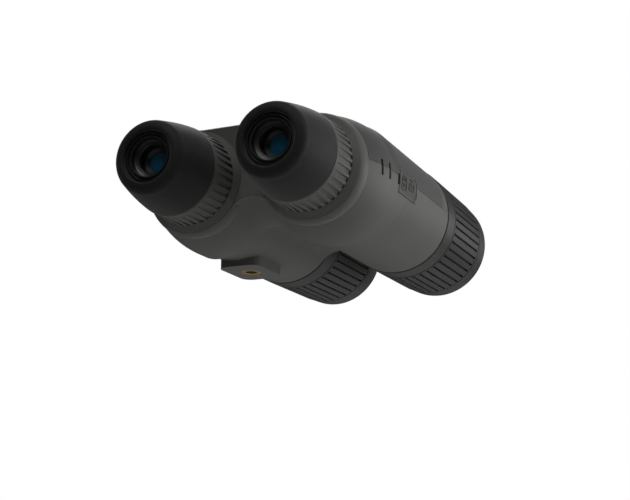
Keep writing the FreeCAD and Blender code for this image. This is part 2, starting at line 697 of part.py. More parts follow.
def patterned(body, tools, count):
    """Repeats cuts round the body's own Y axis."""
    pattern = body.newObject("PartDesign::PolarPattern", body.Name + "Pattern")
    pattern.Originals = tools
    pattern.Axis = ([item for item in body.Origin.OriginFeatures if item.Role == "Y_Axis"][0], [""])
    pattern.Angle = 360
    bind(pattern, Occurrences=count)
    pattern.Occurrences = int(count.value)
    body.Tip = pattern
    return pattern


def pocketed(body, name, corners, height, depth):
    """A pocket cut towards the axis from a plane at the given radius."""
    before = body.Shape.Volume
    sketch = outline(body, name + "Profile", corners, "YZ_Plane", height)
    pocket = body.newObject("PartDesign::Pocket", name)
    pocket.Profile = sketch
    bind(pocket, Length=depth)
    body.Tip = pocket
    doc.recompute()
    assert pocket.Shape.Volume < before - 0.01, name + " cut nothing"
    return pocket


def slotCorners(start, end, width):
    """A round-ended slot between two stations."""
    half = width / 2
    endRound = half * 1.05
    return [(-(start + half), -half, endRound), (-(start + half), half), (-(end - half), half, endRound),
            (-(end - half), -half)]


for label, side in SIDES:
    name = label.title()
    axis = barrelAxis(side)
    keep(turned(name + "FrontRing", [
        (hoodRadius, dim(0.3)), (hoodRadius + 0.4, dim(0)), (frontLipRadius - 1.4, dim(0), dim(-1.4)),
        (frontLipRadius, dim(1.4)), (frontRingRadius, focusFront - size.ringLine),
        (frontRingRadius - size.ringLineDepth, focusFront - size.ringLine),
        (frontRingRadius - size.ringLineDepth, focusFront - 0.1),
        (tubeRadius + size.seatGap, focusFront - 0.1),
        (tubeRadius + size.seatGap, size.hoodDepth), (throatRadius, size.hoodDepth),
        (throatRadius, size.hoodDepth - 1)], axis), label + "_front_ring")

    ring = turned(name + "FocusRing", [
        (ringBore, focusFront + 0.2), (focusFrontRadius - ringEdge, focusFront + 0.2),
        (focusFrontRadius, focusFront + 0.2 + ringEdge), (focusRearRadius, focusRear - 0.3 - ringEdge),
        (focusRearRadius - ringEdge, focusRear - 0.3), (ringBore, focusRear - 0.3)], axis)
    doc.recompute()
    grooveTop = focusRearRadius + 1
    groove = pocketed(ring, name + "Groove", slotCorners(focusFront + 1.2, focusRear - 2.6, size.grooveWidth),
                      grooveTop, size.grooveDepth + 1)
    pit = pocketed(ring, name + "Pit", slotCorners(focusRear - 1.5 - size.pitWidth, focusRear - 1.3, size.pitWidth),
                   grooveTop, size.pitDepth + 1)
    patterned(ring, [groove, pit], size.grooveCount)
    keep(ring, label + "_focus_ring")

    keep(turned(name + "Adapter", [
        (tubeRadius + size.seatGap, focusRear), (adapterRadius - size.ringLineDepth, focusRear),
        (adapterRadius - size.ringLineDepth, focusRear + size.ringLine),
        (adapterRadius, focusRear + size.ringLine), (adapterRadius, housingFront - 0.5),
        (adapterRadius - 0.4, housingFront - 0.1), (tubeRadius + size.seatGap, housingFront - 0.1)],
        axis), label + "_front_adapter")

    tailRadius = barrelBore - size.seatGap
    keep(turned(name + "ObjectiveTube", [
        (tubeBore, size.hoodDepth + 0.2), (tubeRadius, size.hoodDepth + 0.2), (tubeRadius, housingFront + 1),
        (tailRadius, housingFront + 1), (tailRadius, tubeEnd), (tubeFlange, tubeEnd),
        (tubeFlange, tubeEnd - 2.5), (tubeBore, tubeEnd - 2.5)], axis), label + "_objective_tube")

    keep(turned(name + "ObjectiveCell", [
        (lensRadius + size.seatGap, cellFront), (cellRadius, cellFront), (cellRadius, cellFront + size.cellLength),
        (cellRadius - 4, cellFront + size.cellLength), (cellRadius - 4, lensSeat),
        (lensRadius + size.seatGap, lensSeat)], axis), label + "_objective_cell")

    lensSweep = roundness(lensRadius, size.lensSag)
    keep(turned(name + "ObjectiveLens", [
        (dim(0), cellFront + 1, -lensSweep), (lensRadius, cellFront + 1 + size.lensSag),
        (lensRadius, lensSeat - 0.1), (dim(0), lensSeat - 0.1)], axis), label + "_objective_lens")

# right barrel: image sensor behind the tube; left barrel: infrared lamp on its heat sink
rightX = barrelAxis(RIGHT)[0]
leftX = barrelAxis(LEFT)[0]
sensorDisc = rod("SensorDisc", barrelBore - 1, size.boardThickness, rightX,
                 tubeEnd + 0.1 + size.boardThickness, barrelHeight, "y")
sensorChip = block("SensorChip", (rightX - 7, rightX + 7), (tubeEnd - 2.0, tubeEnd + 0.2),
                   (barrelHeight - 5.5, barrelHeight + 5.5))
keep(fused("SensorBoard", [sensorDisc, sensorChip]), "sensor_board")

sinkRear = tubeEnd - 2.6
sinkFront = sinkRear - 13
finDepth = dim(5)
sink = [(dim(0), sinkFront), (tubeBore - 0.2, sinkFront)]
for number in range(4):
    finEnd = sinkFront + 2 + 3.2 * number
    sink += [(tubeBore - 0.2, finEnd), (tubeBore - finDepth, finEnd), (tubeBore - finDepth, finEnd + 1.2),
             (tubeBore - 0.2, finEnd + 1.2)]
keep(turned("HeatSink", sink + [(tubeBore - 0.2, sinkRear), (dim(0), sinkRear)], barrelAxis(LEFT)), "heat_sink")
lampRadius = dim(3.2)
lampRise = dim(2.6)
keep(turned("InfraredLamp", [
    (dim(0), sinkFront - 0.1), (dim(11), sinkFront - 0.1), (dim(11), sinkFront - 1.7), (lampRadius, sinkFront - 1.7),
    (lampRadius, sinkFront - 3.2, roundness(lampRadius, lampRise)), (dim(0), sinkFront - 3.2 - lampRise)],
    barrelAxis(LEFT)), "infrared_lamp")

# ---- eyepiece end, the same on both sides --------------------------------------------------

mountFront = housingRear - 10.5
flangeFront = housingRear - size.rearWall - 3
bezelRear = eyecupRear - 1.9
tubeRear = eyecupRear - 5
cellRear = eyecupRear - size.eyeRelief
eyeCellFront = cellRear - size.eyeCellLength
for label, side in SIDES:
    name = label.title()
    axis = eyeAxis(side)
    keep(turned(name + "EyepieceMount", [
        (eyeTubeBore, mountFront), (eyeTubeBore + 3.4, mountFront), (eyeTubeBore + 3.4, flangeFront),
        (mountFlange, flangeFront), (mountFlange, housingRear - size.rearWall - 0.2),
        (neckBore - size.seatGap, housingRear - size.rearWall - 0.2),
        (neckBore - size.seatGap, housingRear + 0.6), (collarRadius - 1.0, housingRear + 0.6),
        (collarRadius - 1.0, housingRear + size.seatGap), (collarRadius, housingRear + size.seatGap),
        (collarRadius - size.collarTaper, collarRear - 0.7), (collarRadius - size.collarTaper - 0.4, collarRear - 0.3),
        (size.eyeTubeRadius, collarRear - 0.3), (size.eyeTubeRadius, tubeRear), (eyeTubeBore, tubeRear)],
        axis), label + "_eyepiece_mount")

    keep(turned(name + "EyepieceSeal", [
        (neckBore + 0.1, housingRear + 0.1), (collarRadius - 1.1, housingRear + 0.1),
        (collarRadius - 1.1, housingRear + 0.5), (neckBore + 0.1, housingRear + 0.5)],
        axis), label + "_eyepiece_seal")

    ring = turned(name + "DioptreRing", [
        (size.eyeTubeRadius + size.runGap, collarRear), (dioptreFrontRadius - 0.4, collarRear),
        (dioptreFrontRadius, collarRear + 0.4), (dioptreRearRadius, dioptreRear - 0.7),
        (dioptreRearRadius - 0.4, dioptreRear - 0.3), (size.eyeTubeRadius + size.runGap, dioptreRear - 0.3)],
        axis)
    doc.recompute()
    hollow = [(y, x) + tuple(-turn for turn in corner) for x, y, *corner in
              softCorners(-dioptreRear + 2.2, -collarRear + 1.0, size.ribGap / 2, size.ribRound)]
    gap = pocketed(ring, name + "RibGap", hollow, dioptreFrontRadius + 1, size.ribDepth + 1.3)
    patterned(ring, [gap], size.ribCount)
    keep(ring, label + "_dioptre_ring")

    noseStation = eyecupRear - size.cupNose
    keep(turned(name + "Eyecup", [
        (size.eyeTubeRadius + size.seatGap, dioptreRear), (cupBaseRadius, dioptreRear, dim(-160)),
        (cupNoseRadius, noseStation, dim(-4.6)), (cupHole + 1.6, eyecupRear, dim(-1.4)),
        (cupHole, eyecupRear - 1.2), (cupHole, tubeRear + 0.2),
        (size.eyeTubeRadius + size.seatGap, tubeRear + 0.2)], axis), label + "_eyecup")

    flangeRadius = eyeTubeBore - size.seatGap
    outerRim = cupHole - size.seatGap
    keep(turned(name + "EyeBezel", [
        (dim(7.0), tubeRear - 3.4), (flangeRadius, tubeRear - 3.4), (flangeRadius, tubeRear),
        (outerRim, tubeRear), (outerRim, bezelRear - 0.5), (outerRim - 0.4, bezelRear - 0.1),
        (outerRim - 1.3, bezelRear), (outerRim - 1.5, bezelRear - 1.4), (outerRim - 2.2, bezelRear - 1.4),
        (outerRim - 2.3, bezelRear - 0.6), (outerRim - 3.0, bezelRear - 0.6), (outerRim - 3.4, tubeRear + 0.2),
        (dim(8.2), tubeRear - 0.3), (dim(7.4), tubeRear - 0.5), (dim(7.0), tubeRear - 1.0)],
        axis), label + "_eye_bezel")

    innerRadius = eyeTubeBore - size.runGap
    fieldSeat = eyeCellFront + 7.2
    apertureFront = cellRear - 1.6
    keep(turned(name + "LensCell", [
        (size.eyeAperture, apertureFront), (size.eyeAperture, apertureFront + 0.4), (size.eyeAperture + 1.7, cellRear),
        (innerRadius, cellRear), (innerRadius, eyeCellFront), (size.fieldLensRadius + size.seatGap, eyeCellFront),
        (size.fieldLensRadius + size.seatGap, fieldSeat), (size.eyeLensRadius + size.seatGap, fieldSeat),
        (size.eyeLensRadius + size.seatGap, apertureFront)], axis), label + "_lens_cell")

    eyeSag = dim(1.3)
    eyeSweep = roundness(size.eyeLensRadius, eyeSag)
    keep(turned(name + "EyeLens", [
        (dim(0), apertureFront - 5), (size.eyeLensRadius, apertureFront - 5),
        (size.eyeLensRadius, apertureFront - 1, -eyeSweep), (dim(0), apertureFront - 1 + eyeSag)],
        axis), label + "_eye_lens")
    fieldSag = dim(2)
    fieldSweep = roundness(size.fieldLensRadius, fieldSag)
    keep(turned(name + "FieldLens", [
        (dim(0), fieldSeat - 0.1), (size.fieldLensRadius, fieldSeat - 0.1),
        (size.fieldLensRadius, fieldSeat - 6, fieldSweep), (dim(0), fieldSeat - 6 - fieldSag)],
        axis), label + "_field_lens")

    disc = rod(name + "DisplayBoard", eyeTubeBore + 3, size.boardThickness, axis[0], mountFront - 0.2,
               eyeHeight, "y")
    screen = block(name + "Screen", (axis[0] - 7.5, axis[0] + 7.5), (mountFront - 0.3, mountFront + 1.2),
                   (eyeHeight - 5.5, eyeHeight + 5.5))
    keep(fused(name + "Display", [disc, screen]), label + "_display")

# ---- inside the housing --------------------------------------------------------------------

board = block("Board", (size.boardWidth * -0.5, size.boardWidth * 0.5), (boardFront, boardRear),
              (boardTop - size.boardThickness, boardTop))
boardNotch = rod("BoardNotch", bossRadius + 1.8, size.boardRise, dim(0), screwStations[0], barrelHeight + 10)
boardPlate = cutAway("BoardPlate", board, boardHoles + [boardNotch])
# chips: side, front, width and length, with the places along the board in 46ths of it
step = boardLength / 46
chips = [block("Chip%d" % number, (dim(x), x + dim(w)), (boardFront + step * y, boardFront + step * (y + d)),
               (boardTop, boardTop + 1.2))
         for number, (x, y, w, d) in enumerate([(-8, 14, 16, 16), (12, 8, 11, 9), (12, 24, 9, 12),
                                                (-27, 16, 12, 14)])]
keep(fused("MainBoard", [boardPlate] + chips), "main_board")

# three cells in a triangle round one rod, between two end discs
cellsFront = tubeEnd + 4.2
packReach = size.cellRadius * (2 / math.sqrt(3)) + 0.1
discRadius = barrelBore - 0.3
cells = []
for number, angle in enumerate((30, 150, 270)):
    cells.append(rod("Cell%d" % number, size.cellRadius, size.batteryLength,
                     leftX + packReach * math.cos(math.radians(angle)), cellsFront + size.batteryLength,
                     barrelHeight + packReach * math.sin(math.radians(angle)), "y"))
keep(grouped("BatteryCells", cells), "battery_cells")
frontDisc = rod("FrontDisc", discRadius, dim(2.5), leftX, cellsFront - 0.1, barrelHeight, "y")
rearDisc = rod("RearDisc", discRadius, dim(2.5), leftX, cellsFront + size.batteryLength + 2.6, barrelHeight, "y")
spine = rod("Spine", size.cellRadius * 0.12, size.batteryLength + 1, leftX,
            cellsFront + size.batteryLength + 0.5, barrelHeight, "y")
keep(fused("BatteryHolder", [frontDisc, rearDisc, spine]), "battery_holder")

# ports: a curved rubber flap that folds at its outer face, over a plate with two sockets
plateFace = size.barrelRadius - size.portThickness - 0.4
portHeights = (portMiddle - size.portHeight / 2, portMiddle + size.portHeight / 2)
for name, inner, stations in (("PortTether", plateFace + 0.05, (portFront, foldStation - 0.2)),
                              ("PortCover", size.barrelRadius - size.portThickness, (foldStation, portRear))):
    ring = turned(name + "Ring", [
        (inner, portFront - 9), (size.barrelRadius, portFront - 9), (size.barrelRadius, portRear + 9),
        (inner, portRear + 9)], barrelAxis(RIGHT))
    sector = block(name + "Sector", (portX + barrelBore * 0.7, portX + size.barrelRadius * 1.3), stations,
                   portHeights)
    keep(shared(name, ring, sector), "port_tether" if name == "PortTether" else "port_cover")

plateRing = turned("PlateRing", [
    (barrelBore - 1, portFront - 9), (plateFace, portFront - 9), (plateFace, portRear + 9),
    (barrelBore - 1, portRear + 9)],
    barrelAxis(RIGHT))
plateBlock = block("PlateBlock", (portX + barrelBore * 0.7, portX + size.barrelRadius * 1.3),
                   (portFront, portRear - 0.1),
                   (portMiddle - size.portHeight / 2 - 0.1, portMiddle + size.portHeight / 2 + 0.1))
socketFace = portX + barrelBore - 0.6
boardX = socketFace - 8.5
usbStations = (portFront + 4.5, portFront + 13.7)
usbHeights = (portMiddle - 1.8, portMiddle + 1.8)
cardStations = (portFront + 15.2, portFront + 23.7)
cardHeights = (portMiddle - 1.4, portMiddle + 1.4)
sockets = []
for name, stations, heights in (("UsbSocket", usbStations, usbHeights), ("CardSocket", cardStations, cardHeights)):
    shell = block(name + "Shell", (boardX, socketFace + 1), stations, heights)
    mouth = block(name + "Mouth", (boardX + 1, socketFace + 2), (stations[0] + 0.6, stations[1] - 0.6),
                  (heights[0] + 0.6, heights[1] - 0.6))
    sockets.append(cutAway(name, shell, [mouth]))
holes = [block(name + "Hole", (portX, portX + size.barrelRadius), (stations[0] - 0.1, stations[1] + 0.1),
               (heights[0] - 0.1, heights[1] + 0.1))
         for name, stations, heights in (("Usb", usbStations, usbHeights), ("Card", cardStations, cardHeights))]
keep(cutAway("PortPlate", shared("PlateBlank", plateRing, plateBlock), holes), "port_plate")
keep(sockets[0], "usb_socket")
keep(sockets[1], "card_socket")
keep(block("PortBoard", (boardX - 0.1 - size.boardThickness, boardX - 0.1), (portFront + 2.5, portRear - 1),
           (portMiddle - size.portHeight / 2, portMiddle + size.portHeight / 2)), "port_board")

# ---- keypad on the deck --------------------------------------------------------------------

frameTop = deckTop + size.keypadProud
frameWall = dim(1.6)
plateThick = dim(1.3)
frameFloor = frameTop - plateThick
capTop = frameTop + size.buttonProud
keypadMiddle = keypadRear - size.buttonSpacing - size.arrowButton - 5
powerStation = keypadFront + 8
buttons = [("ok_button", dim(0), keypadMiddle, size.middleButton)]
for name, x, back in (("up_button", 0, -1), ("down_button", 0, 1), ("left_button", -1, 0), ("right_button", 1, 0)):
    buttons.append((name, size.buttonSpacing * x, keypadMiddle + size.buttonSpacing * back, size.arrowButton))
buttons.append(("power_button", dim(0), powerStation, size.arrowButton))

frameBlock = block("FrameBlock", (-keypadX, keypadX), (keypadFront, keypadRear), (shellTop + 0.05, frameTop))
frameHollow = block("FrameHollow", (-keypadX + frameWall, keypadX - frameWall),
                    (keypadFront + frameWall, keypadRear - frameWall), (shellTop - 1, frameFloor))
frameTools = [frameHollow]
for name, x, station, radius in buttons:
    frameTools.append(rod(name.replace("_", "") + "Hole", radius + size.runGap, dim(10), x, station, shellTop))
keep(cutAway("KeypadFrame", frameBlock, frameTools), "keypad_frame")
keep(block("KeypadBoard", (-keypadX + 2, keypadX - 2), (keypadFront + 2, keypadRear - 2),
           (shellTop - size.keypadBoard, shellTop)), "keypad_board")

buttonFoot = shellTop + 0.75
footTop = frameFloor - 0.15
for name, x, station, radius in buttons:
    foot = rod(name.replace("_", "") + "Foot", radius + 0.9, footTop - buttonFoot, x, station, buttonFoot)
    cap = rod(name.replace("_", "") + "Cap", radius, capTop - buttonFoot, x, station, buttonFoot)
    keep(fused(name.replace("_", " ").title().replace(" ", ""), [foot, cap]), name)

# ---- check and write -----------------------------------------------------------------------

doc.recompute()
faults = [thing.Name for thing in doc.Objects if "Invalid" in thing.State or "Error" in thing.State]
faults += [piece.Label for piece in pieces if piece.Shape.isNull() or not piece.Shape.isValid()]
if faults:
    raise RuntimeError("failed: " + ", ".join(faults))

os.makedirs("parts", exist_ok=True)
for piece in pieces:
    piece.Shape.exportStep(os.path.join("parts", piece.Label + ".step"))
    box = piece.Shape.BoundBox
    print("%-22s %3d solids  %9.1f mm3  %6.1f x %6.1f x %6.1f" % (
        piece.Label, len(piece.Shape.Solids), piece.Shape.Volume, box.XLength, box.YLength, box.ZLength))
print(len(pieces), "pieces")
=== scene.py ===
import json
import math

import bmesh
import bpy
from mathutils import Matrix, Vector


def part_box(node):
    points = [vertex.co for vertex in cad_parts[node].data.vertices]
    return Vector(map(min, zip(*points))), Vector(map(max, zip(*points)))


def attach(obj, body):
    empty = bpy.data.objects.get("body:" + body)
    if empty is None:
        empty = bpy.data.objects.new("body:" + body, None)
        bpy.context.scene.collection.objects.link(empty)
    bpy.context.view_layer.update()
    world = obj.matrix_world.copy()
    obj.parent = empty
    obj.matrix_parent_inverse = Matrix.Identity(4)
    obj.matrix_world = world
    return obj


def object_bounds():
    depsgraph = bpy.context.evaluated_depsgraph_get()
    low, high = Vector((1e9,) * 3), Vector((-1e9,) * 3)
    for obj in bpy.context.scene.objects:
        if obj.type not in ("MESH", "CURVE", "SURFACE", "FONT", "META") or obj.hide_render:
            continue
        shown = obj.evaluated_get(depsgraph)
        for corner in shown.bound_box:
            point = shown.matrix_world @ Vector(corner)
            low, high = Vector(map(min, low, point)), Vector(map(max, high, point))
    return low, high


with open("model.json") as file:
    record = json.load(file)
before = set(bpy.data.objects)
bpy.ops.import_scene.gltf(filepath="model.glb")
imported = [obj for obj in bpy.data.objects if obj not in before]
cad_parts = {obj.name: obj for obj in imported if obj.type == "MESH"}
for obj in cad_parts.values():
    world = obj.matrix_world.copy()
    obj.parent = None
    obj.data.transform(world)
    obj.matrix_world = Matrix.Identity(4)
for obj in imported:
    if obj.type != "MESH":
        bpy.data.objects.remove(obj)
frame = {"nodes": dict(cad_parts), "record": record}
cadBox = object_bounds()
nodes = frame["nodes"]
mm = 0.001
print("frame loaded,", len(nodes), "pieces")


# small helpers for node trees

def startMaterial(name):
    material = bpy.data.materials.new(name)
    material.use_nodes = True
    tree = material.node_tree
    return material, tree, tree.nodes["Principled BSDF"]


def addNode(tree, kind, inputs=None, **settings):
    node = tree.nodes.new("ShaderNode" + kind)
    for key, value in settings.items():
        setattr(node, key, value)
    feed(tree, node, inputs or {})
    return node


def feed(tree, node, inputs):
    # a socket is linked, anything else is set on the input itself
    for key, value in inputs.items():
        if isinstance(value, bpy.types.NodeSocket):
            tree.links.new(value, node.inputs[key])
        else:
            node.inputs[key].default_value = value


def colour(values):
    return (values[0], values[1], values[2], 1.0)


def blendColours(tree, factor, first, second):
    node = addNode(tree, "Mix", data_type="RGBA")
    for socket, value in ((node.inputs[0], factor), (node.inputs[6], first), (node.inputs[7], second)):
        if isinstance(value, bpy.types.NodeSocket):
            tree.links.new(value, socket)
        else:
            socket.default_value = value
    return node.outputs[2]


def calculate(tree, operation, first, second=0.0, clamp=False):
    node = addNode(tree, "Math", operation=operation, use_clamp=clamp)
    for socket, value in ((node.inputs[0], first), (node.inputs[1], second)):
        if isinstance(value, bpy.types.NodeSocket):
            tree.links.new(value, socket)
        else:
            socket.default_value = value
    return node.outputs[0]


def spread(tree, value, low, high, newLow=0.0, newHigh=1.0):
    node = addNode(tree, "MapRange", {"Value": value, "From Min": low, "From Max": high,
                                      "To Min": newLow, "To Max": newHigh}, clamp=True)
    return node.outputs["Result"]


def noise(tree, where, size, detail=3.0, roughness=0.5, stretch=None):
    # size is how big one patch of it is, in metres
    if stretch:
        where = addNode(tree, "Mapping", {"Vector": where, "Scale": stretch}).outputs[0]
    node = addNode(tree, "TexNoise", {"Vector": where, "Scale": 1.0 / size, "Detail": detail,
                                      "Roughness": roughness})
    return node.outputs["Fac"]


maskLook = {"edgeSamples": 4, "edgeStart": 0.99, "edgeFull": 0.8,
            "creviceSamples": 8, "creviceStart": 0.75, "creviceFull": 0.25}


def edgeMask(tree, radius):
    # white along sharp edges: where the rounded normal leaves the flat one
    rounded = addNode(tree, "Bevel", {"Radius": radius}, samples=maskLook["edgeSamples"])
    flat = addNode(tree, "NewGeometry").outputs["Normal"]
    dot = addNode(tree, "VectorMath", operation="DOT_PRODUCT")
    tree.links.new(rounded.outputs[0], dot.inputs[0])
    tree.links.new(flat, dot.inputs[1])
    edges = spread(tree, dot.outputs["Value"], maskLook["edgeStart"], maskLook["edgeFull"])
    return rounded.outputs[0], edges


def creviceShadeMask(tree, reach):
    # painted shade: white in grooves, pits and seams, where nearby walls close the surface in and shade falls
    hollow = addNode(tree, "AmbientOcclusion", {"Distance": reach}, samples=maskLook["creviceSamples"],
                     only_local=False)
    return spread(tree, hollow.outputs["AO"], maskLook["creviceStart"], maskLook["creviceFull"])


def sunkMask(tree, where, look):
    # painted shade: white where the surface lies deeper than the ring's own skin, which tapers towards the
    # front, so grooves and pits on the rings are painted near black
    place = addNode(tree, "SeparateXYZ", {"Vector": where})
    across = calculate(tree, "SUBTRACT", calculate(tree, "ABSOLUTE", place.outputs["X"]), look["axisX"])
    height = calculate(tree, "SUBTRACT", place.outputs["Z"], look["axisZ"])
    reach = calculate(tree, "SQRT", calculate(tree, "ADD", calculate(tree, "POWER", across, 2.0),
                                              calculate(tree, "POWER", height, 2.0)))
    skin = spread(tree, place.outputs["Y"], look["rearY"], look["frontY"], look["rearSkin"],
                  look["frontSkin"])
    depth = calculate(tree, "SUBTRACT", skin, reach)
    behindHood = calculate(tree, "LESS_THAN", place.outputs["Y"], look["hoodY"])
    return calculate(tree, "MULTIPLY", spread(tree, depth, look["shallow"], look["deep"]), behindHood)


# moulded plastics and rubbers share one recipe
mouldMix = {"patches": (0.3, 0.7), "dustSpots": (0.71, 0.78), "wearPatches": (0.42, 0.62),
            "shine": (0.25, 0.75), "wornGloss": 0.12, "creviceDullness": 0.3}


def mouldedFinish(name, look):
    material, tree, shader = startMaterial(name)
    where = addNode(tree, "TexCoord").outputs["Object"]
    cloudy = noise(tree, where, look["patchSize"], 4.0, 0.6)
    grain = noise(tree, where, look["grainSize"], 2.0, 0.55)
    dustSpots = spread(tree, noise(tree, where, look["dustSize"], 1.0, 0.4), *mouldMix["dustSpots"])
    rounded, edges = edgeMask(tree, look["edgeRadius"])
    # edges are lightened in patches: partly wear, partly a painted highlight along the edges
    wearPatches = spread(tree, noise(tree, where, look["wearSize"], 5.0, 0.65), *mouldMix["wearPatches"])
    edgeWearAndHighlight = calculate(tree, "MULTIPLY", calculate(tree, "MULTIPLY", edges, wearPatches), look["wearAndHighlight"])
    base = blendColours(tree, spread(tree, cloudy, *mouldMix["patches"]), colour(look["dark"]),
                        colour(look["light"]))
    base = blendColours(tree, calculate(tree, "MULTIPLY", dustSpots, look["dust"]), base,
                        colour(look["dustColour"]))
    base = blendColours(tree, edgeWearAndHighlight, base, colour(look["wearAndHighlightColour"]))
    # painted shade: grooves, pits and seams, and on the rings the sunk grooves, are darkened towards a
    # near-black colour
    crevicesShade = calculate(tree, "MULTIPLY", creviceShadeMask(tree, look["creviceReach"]), look["creviceShade"])
    if "sunk" in look:
        crevicesShade = calculate(tree, "MAXIMUM", crevicesShade, sunkMask(tree, where, look["sunk"]))
    base = blendColours(tree, crevicesShade, base, colour(look["creviceShadeColour"]))
    shine = spread(tree, cloudy, *mouldMix["shine"], look["roughness"] - look["roughnessSpread"],
                   look["roughness"] + look["roughnessSpread"])
    shine = calculate(tree, "SUBTRACT", shine, calculate(tree, "MULTIPLY", edgeWearAndHighlight, mouldMix["wornGloss"]), True)
    shine = calculate(tree, "ADD", shine, calculate(tree, "MULTIPLY", crevicesShade, mouldMix["creviceDullness"]),
                      True)
    bump = addNode(tree, "Bump", {"Height": grain, "Normal": rounded, "Strength": look["grainStrength"],
                                  "Distance": look["grainDepth"]})
    feed(tree, shader, {"Base Color": base, "Roughness": shine, "Normal": bump.outputs[0],
                        "Sheen Weight": look["sheen"], "Sheen Roughness": look["sheenRoughness"],
                        "Specular IOR Level": look["specular"]})
    return material


# shared look: the crevice settings give a painted shade in hollows, and the lighter edges are partly wear and
# partly a painted highlight
plasticLook = {
    "dark": (0.078, 0.078, 0.072), "light": (0.094, 0.094, 0.087), "wearAndHighlightColour": (0.16, 0.16, 0.15),
    "dustColour": (0.2, 0.19, 0.17), "patchSize": 0.03, "grainSize": 0.0005, "dustSize": 0.0011,
    "wearSize": 0.006, "edgeRadius": 0.0004, "wearAndHighlight": 0.45, "dust": 0.10, "roughness": 0.56,
    "roughnessSpread": 0.05, "grainStrength": 0.35, "grainDepth": 0.00008, "sheen": 0.12,
    "sheenRoughness": 0.5, "specular": 0.42, "creviceReach": 0.0014, "creviceShade": 0.85,
    "creviceShadeColour": (0.006, 0.006, 0.0058),
}


def plasticFrom(changes):
    return {**plasticLook, **changes}


# the focus rings taper by 0.4 mm, and the painted shade mask ends 4 mm in front of them, before the front
# rings' hoods
ringLow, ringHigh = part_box("right_focus_ring")
ringSkin = (ringHigh.z - ringLow.z) / 2
ringSunkShade = {"axisX": (ringLow.x + ringHigh.x) / 2, "axisZ": (ringLow.z + ringHigh.z) / 2, "rearY": ringLow.y,
            "frontY": ringHigh.y, "rearSkin": ringSkin, "frontSkin": ringSkin - 0.4 * mm,
            "hoodY": ringHigh.y + 4 * mm, "shallow": 0.25 * mm, "deep": 0.5 * mm}
finishes = {}
finishes["housing_grey"] = mouldedFinish("softTouchGrey", plasticFrom({
    "creviceShade": 0.2, "creviceReach": 0.0008, "edgeRadius": 0.0005, "wearAndHighlight": 0.15}))
finishes["cover_dark"] = mouldedFinish("softTouchDark", plasticFrom({
    "dark": (0.0215, 0.0215, 0.0202), "light": (0.028, 0.028, 0.0262), "wearAndHighlightColour": (0.06, 0.06, 0.056),
    "roughness": 0.6, "grainSize": 0.00045, "sheen": 0.2}))
# the rings' grooves, pits and seams take a near-black painted shade
finishes["ring_black"] = mouldedFinish("ringCharcoal", plasticFrom({
    "dark": (0.0125, 0.0125, 0.012), "light": (0.018, 0.018, 0.0172), "wearAndHighlightColour": (0.06, 0.06, 0.056),
    "roughness": 0.42, "wearAndHighlight": 0.6, "sheen": 0.06, "specular": 0.5, "creviceShade": 1.0,
    "creviceShadeColour": (0.002, 0.002, 0.002), "sunk": ringSunkShade}))
finishes["collar_grey"] = mouldedFinish("collarPlastic", plasticFrom({
    "dark": (0.066, 0.066, 0.062), "light": (0.08, 0.08, 0.075), "wearAndHighlightColour": (0.13, 0.13, 0.123),
    "roughness": 0.5, "sheen": 0.1, "creviceShade": 0.1}))
finishes["dioptre_grey"] = mouldedFinish("dioptreRubber", plasticFrom({
    "dark": (0.045, 0.045, 0.042), "light": (0.056, 0.056, 0.052), "wearAndHighlightColour": (0.11, 0.11, 0.10),
    "roughness": 0.6, "sheen": 0.2, "dust": 0.16, "creviceShade": 0.35, "creviceReach": 0.0008}))
finishes["eyecup_rubber"] = mouldedFinish("eyecupRubber", plasticFrom({
    "dark": (0.0115, 0.0115, 0.0111), "light": (0.0145, 0.0145, 0.014), "wearAndHighlightColour": (0.03, 0.03, 0.029),
    "roughness": 0.62, "sheen": 0.26, "sheenRoughness": 0.4, "dust": 0.12, "grainDepth": 0.0001,
    "specular": 0.17, "creviceShade": 0.5}))
finishes["bezel_black"] = mouldedFinish("bezelPlastic", plasticFrom({
    "dark": (0.010, 0.010, 0.0095), "light": (0.014, 0.014, 0.0135), "wearAndHighlightColour": (0.05, 0.05, 0.047),
    "roughness": 0.38, "sheen": 0.0, "edgeRadius": 0.00025}))
finishes["seal_rubber"] = mouldedFinish("sealRubber", plasticFrom({
    "dark": (0.008, 0.008, 0.008), "light": (0.012, 0.012, 0.012), "roughness": 0.7, "edgeRadius": 0.0001}))
finishes["cover_rubber"] = mouldedFinish("portDoorRubber", plasticFrom({
    "dark": (0.040, 0.040, 0.0375), "light": (0.050, 0.050, 0.0465), "roughness": 0.64, "sheen": 0.14}))
finishes["key_rubber"] = mouldedFinish("keyRubber", plasticFrom({
    "dark": (0.022, 0.022, 0.021), "light": (0.03, 0.03, 0.029), "roughness": 0.6, "sheen": 0.2}))
finishes["black_plastic"] = mouldedFinish("blackPlastic", plasticFrom({
    "dark": (0.005, 0.005, 0.005), "light": (0.008, 0.008, 0.008), "wearAndHighlightColour": (0.04, 0.04, 0.04),
    "roughness": 0.6, "sheen": 0.0}))
markingFinish = mouldedFinish("markingPaint", plasticFrom({
    "dark": (0.42, 0.42, 0.4), "light": (0.52, 0.52, 0.5), "wearAndHighlightColour": (0.3, 0.3, 0.29),
    "roughness": 0.5, "sheen": 0.0, "grainDepth": 0.00003}))
embossFinish = mouldedFinish("embossedRubber", plasticFrom({
    "dark": (0.010, 0.010, 0.0096), "light": (0.014, 0.014, 0.0134), "roughness": 0.6, "sheen": 0.05}))
rimFinish = mouldedFinish("portDoorRimPlastic", plasticFrom({
    "dark": (0.105, 0.105, 0.098), "light": (0.125, 0.125, 0.117), "roughness": 0.5, "sheen": 0.1,
    "creviceShade": 0.0}))
print("plastic and rubber finishes made")


# metals: turned marks follow the axis that the piece was turned about

